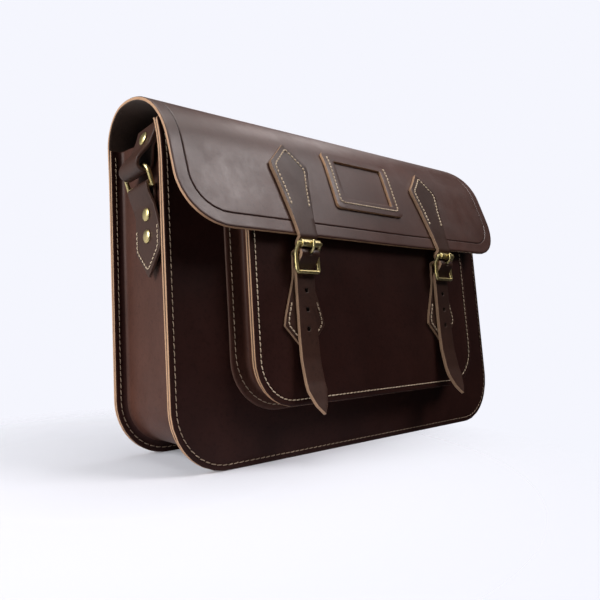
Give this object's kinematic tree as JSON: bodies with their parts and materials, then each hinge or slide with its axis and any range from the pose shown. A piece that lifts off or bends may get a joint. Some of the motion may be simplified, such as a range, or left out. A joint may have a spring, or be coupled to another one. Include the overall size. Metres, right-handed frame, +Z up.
{
  "type": "satchel bag",
  "caption": "Upright leather satchel with a full-width flap, front pocket, buckled closing straps, a name window and a shoulder strap on D-rings.",
  "frame": {"origin": "middle of the back panel's bottom edge, on the ground", "axes": "+Z up, +Y from the bag's front to its back, +X to the right seen from the front"},
  "size_m": [0.3912, 0.1213, 0.2743],
  "materials": {
    "panel_leather": "smooth waxed dark brown leather with raw tan edges",
    "gusset_leather": "smooth dark brown leather, slightly softer",
    "strap_leather": "smooth waxed dark brown strap leather with raw tan edges",
    "brass": "polished brass"
  },
  "bodies": {
    "bag": {"back_panel": "panel_leather", "front_panel": "panel_leather", "gusset": "gusset_leather", "pocket_gusset": "gusset_leather", "pocket_panel": "panel_leather", "buckle_tab_left": "strap_leather", "buckle_tab_right": "strap_leather", "buckle_frame_left": "brass", "buckle_frame_right": "brass", "chape_left": "strap_leather", "chape_right": "strap_leather", "chape_rivets_left": "brass", "chape_rivets_right": "brass", "shoulder_strap": "strap_leather", "strap_rivets": "brass"},
    "flap": {"flap": "panel_leather", "window_frame": "strap_leather", "closing_strap_left": "strap_leather", "closing_strap_right": "strap_leather"},
    "roller_left": {"roller_left": "brass"},
    "roller_right": {"roller_right": "brass"},
    "prong_left": {"prong_left": "brass"},
    "prong_right": {"prong_right": "brass"},
    "d_ring_left": {"d_ring_left": "brass"},
    "d_ring_right": {"d_ring_right": "brass"}
  },
  "joints": [
    {"name": "flap_hinge", "type": "hinge", "parent": "bag", "child": "flap", "pos_m": [0, 0.0015, 0.24515], "axis": [-1, 0, 0], "range_deg": [0, 165], "deforming": ["closing_strap_left", "closing_strap_right"]},
    {"name": "roller_left_spin", "type": "hinge", "parent": "bag", "child": "roller_left", "pos_m": [-0.086, -0.1145, 0.1548], "axis": [1, 0, 0], "continuous": true},
    {"name": "roller_right_spin", "type": "hinge", "parent": "bag", "child": "roller_right", "pos_m": [0.086, -0.1145, 0.1548], "axis": [1, 0, 0], "continuous": true},
    {"name": "prong_left_hinge", "type": "hinge", "parent": "bag", "child": "prong_left", "pos_m": [-0.086, -0.1074, 0.1475], "axis": [1, 0, 0], "range_deg": [0, 75], "deforming": ["closing_strap_left"]},
    {"name": "prong_right_hinge", "type": "hinge", "parent": "bag", "child": "prong_right", "pos_m": [0.086, -0.1074, 0.1475], "axis": [1, 0, 0], "range_deg": [0, 75], "deforming": ["closing_strap_right"]},
    {"name": "d_ring_left_swing", "type": "hinge", "parent": "bag", "child": "d_ring_left", "pos_m": [-0.1846, -0.044, 0.2015], "axis": [0, -1, 0], "range_deg": [-8, 45], "deforming": ["shoulder_strap", "strap_rivets"]},
    {"name": "d_ring_right_swing", "type": "hinge", "parent": "bag", "child": "d_ring_right", "pos_m": [0.1846, -0.044, 0.2015], "axis": [0, 1, 0], "range_deg": [-8, 45], "deforming": ["shoulder_strap", "strap_rivets"]}
  ]
}
